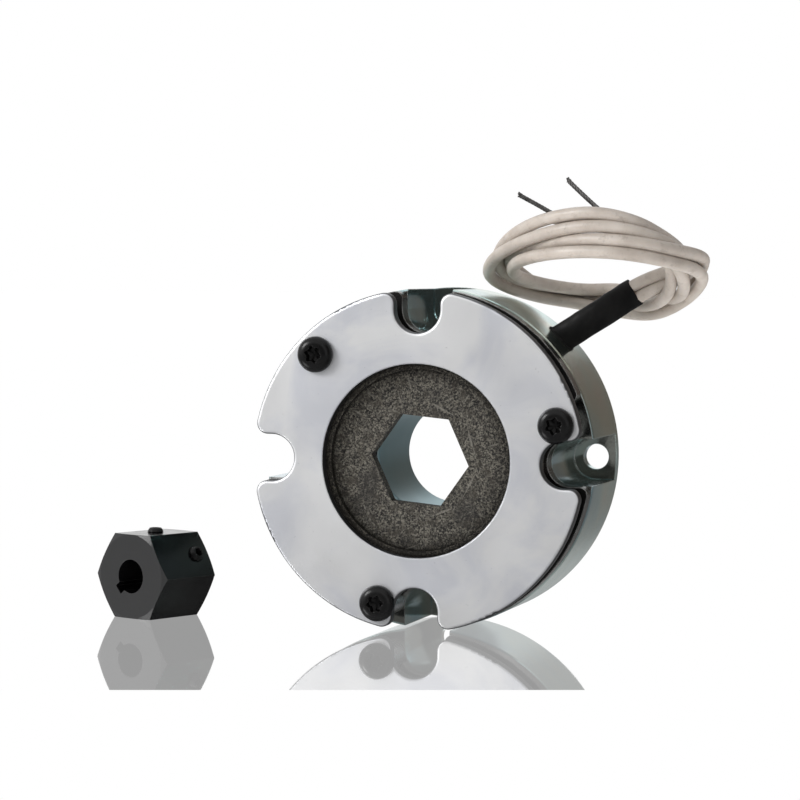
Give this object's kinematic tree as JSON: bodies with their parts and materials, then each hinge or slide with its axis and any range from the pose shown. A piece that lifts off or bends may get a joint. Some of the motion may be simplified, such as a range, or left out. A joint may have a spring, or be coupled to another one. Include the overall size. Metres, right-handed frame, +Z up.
{
  "type": "spring-applied electromagnetic brake",
  "caption": "Round power-off brake: pot magnet, spring-pushed armature, friction disc with hexagonal hole, screwed pressure plate, coiled leads and a separate hexagonal hub.",
  "frame": {"origin": "on the main axis, at the rear mounting face of the magnet body", "axes": "+Y along the main axis towards the motor end; the pressure plate faces -Y; +Z up, +X to the right as seen from the front"},
  "size_m": [0.1153, 0.0378, 0.0824],
  "materials": {
    "zinc_body": "bright zinc plating",
    "zinc_armature": "bright zinc plating",
    "bright_plate": "smooth light zinc plating",
    "friction": "moulded friction lining",
    "nylon": "moulded nylon",
    "enamel_wire": "enamelled copper wire",
    "resin": "cast resin",
    "black_oxide": "black oxide",
    "black_rubber": "matt",
    "white_wire": "off-white insulation",
    "tinned_strand": "twisted tinned strands",
    "spring_steel": "drawn wire",
    "bright_steel": "turned"
  },
  "bodies": {
    "magnet": {"bare_end_1": "tinned_strand", "bare_end_2": "tinned_strand", "coil_bobbin": "nylon", "coil_potting": "resin", "coil_winding": "enamel_wire", "hub": "black_oxide", "lead_1": "white_wire", "lead_2": "white_wire", "lead_coil": "white_wire", "lead_grommet": "black_rubber", "lead_sleeve": "black_rubber", "magnet_body": "zinc_body", "plate_screw_1": "black_oxide", "plate_screw_2": "black_oxide", "plate_screw_3": "black_oxide", "pressure_plate": "bright_plate", "pressure_spring_1": "spring_steel", "pressure_spring_2": "spring_steel", "pressure_spring_3": "spring_steel", "pressure_spring_4": "spring_steel", "pressure_spring_5": "spring_steel", "pressure_spring_6": "spring_steel", "side_set_screw": "black_oxide", "spacer_tube_1": "bright_steel", "spacer_tube_2": "bright_steel", "spacer_tube_3": "bright_steel", "top_set_screw": "black_oxide"},
    "armature": {"armature_plate": "zinc_armature"},
    "rotor": {"friction_disc": "friction"}
  },
  "joints": [
    {"name": "armature_slide", "type": "slide", "parent": "magnet", "child": "armature", "axis": [0, 1, 0], "range_m": [0, 0.0003], "stiffness_N_per_m": 5000, "springref_m": -0.003, "deforming": ["pressure_spring_1", "pressure_spring_2", "pressure_spring_3", "pressure_spring_4", "pressure_spring_5", "pressure_spring_6"]},
    {"name": "rotor_spin", "type": "hinge", "parent": "magnet", "child": "rotor", "pos_m": [0, -0.0254, 0], "axis": [0, 1, 0], "continuous": true}
  ]
}
